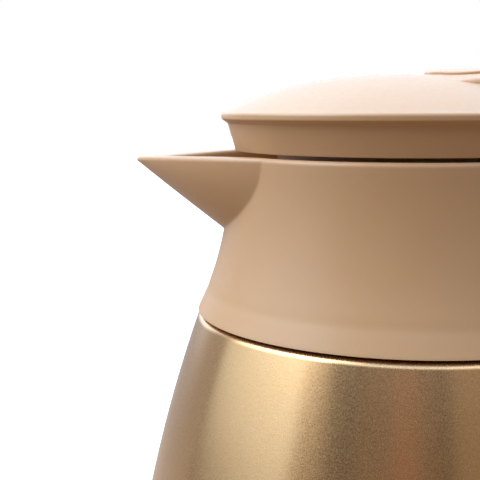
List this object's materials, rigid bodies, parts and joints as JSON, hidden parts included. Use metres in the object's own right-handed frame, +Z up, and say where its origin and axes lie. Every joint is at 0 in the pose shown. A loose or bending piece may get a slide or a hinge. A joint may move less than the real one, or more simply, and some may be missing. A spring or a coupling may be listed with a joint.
{
  "type": "vacuum carafe",
  "caption": "Double-walled steel pouring carafe with a beak spout collar, loop handle, and a lift-off domed stopper lid whose thumb lever opens a sprung valve.",
  "frame": {"origin": "centre of the base pad's underside, on the bottle's axis", "axes": "+Z up along the bottle's axis, -X towards the spout, +X towards the handle, +Y to the left of someone who holds the handle and pours"},
  "size_m": [0.1823, 0.1466, 0.2221],
  "materials": {
    "bronze_steel": "fine satin champagne bronze",
    "bare_steel": "bright stainless",
    "getter_metal": "sintered grey",
    "beige_plastic": "fine-grained matt beige",
    "inner_plastic": "smooth beige",
    "silicone": "translucent off-white silicone",
    "dark_rubber": "matt non-slip rubber"
  },
  "bodies": {
    "pot": {"outer_shell": "bronze_steel", "inner_liner": "bare_steel", "shell_bottom": "bare_steel", "getter": "getter_metal", "vacuum_seal": "bare_steel", "base_cup": "beige_plastic", "base_pad": "dark_rubber", "collar": "beige_plastic", "neck_ring": "inner_plastic", "neck_gasket": "silicone", "handle_outer": "beige_plastic", "handle_inner": "beige_plastic", "handle_bracket": "bare_steel", "handle_screw_top": "bare_steel", "handle_screw_middle": "bare_steel", "handle_screw_lower": "bare_steel", "handle_screw_cap": "beige_plastic"},
    "stopper_seal": {"stopper_gasket": "silicone"},
    "lid": {"lid_cover": "beige_plastic", "lid_base": "inner_plastic", "stopper_tube": "inner_plastic", "lid_screw_front": "bare_steel", "lid_screw_left": "bare_steel", "lid_screw_right": "bare_steel", "lever_pin": "bare_steel", "stem_seal": "silicone", "valve_spring": "bare_steel"},
    "lever": {"lever": "beige_plastic"},
    "valve": {"valve_stem": "inner_plastic", "valve_disc": "inner_plastic", "valve_gasket": "silicone", "stem_clip": "bare_steel"}
  },
  "joints": [
    {"name": "lid_lift", "type": "slide", "parent": "pot", "child": "stopper_seal", "axis": [0, 0, 1], "range_m": [0, 0.09]},
    {"name": "lid_turn", "type": "hinge", "parent": "stopper_seal", "child": "lid", "pos_m": [0, 0, 0.2], "axis": [0, 0, 1], "range_deg": [0, 90]},
    {"name": "lever_press", "type": "hinge", "parent": "lid", "child": "lever", "pos_m": [-0.026, 0, 0.2092], "axis": [0, 1, 0], "range_deg": [0, 6.5], "stiffness_Nm_per_rad": 1.5, "springref_deg": -5.73},
    {"name": "valve_open", "type": "slide", "parent": "lid", "child": "valve", "axis": [0, 0, -1], "range_m": [0, 0.003], "stiffness_N_per_m": 400, "springref_m": -0.003, "deforming": ["valve_spring"]}
  ],
  "couplings": [
    {"joint": "valve_open", "follows": "lever_press", "m_per_rad": 0.026}
  ]
}
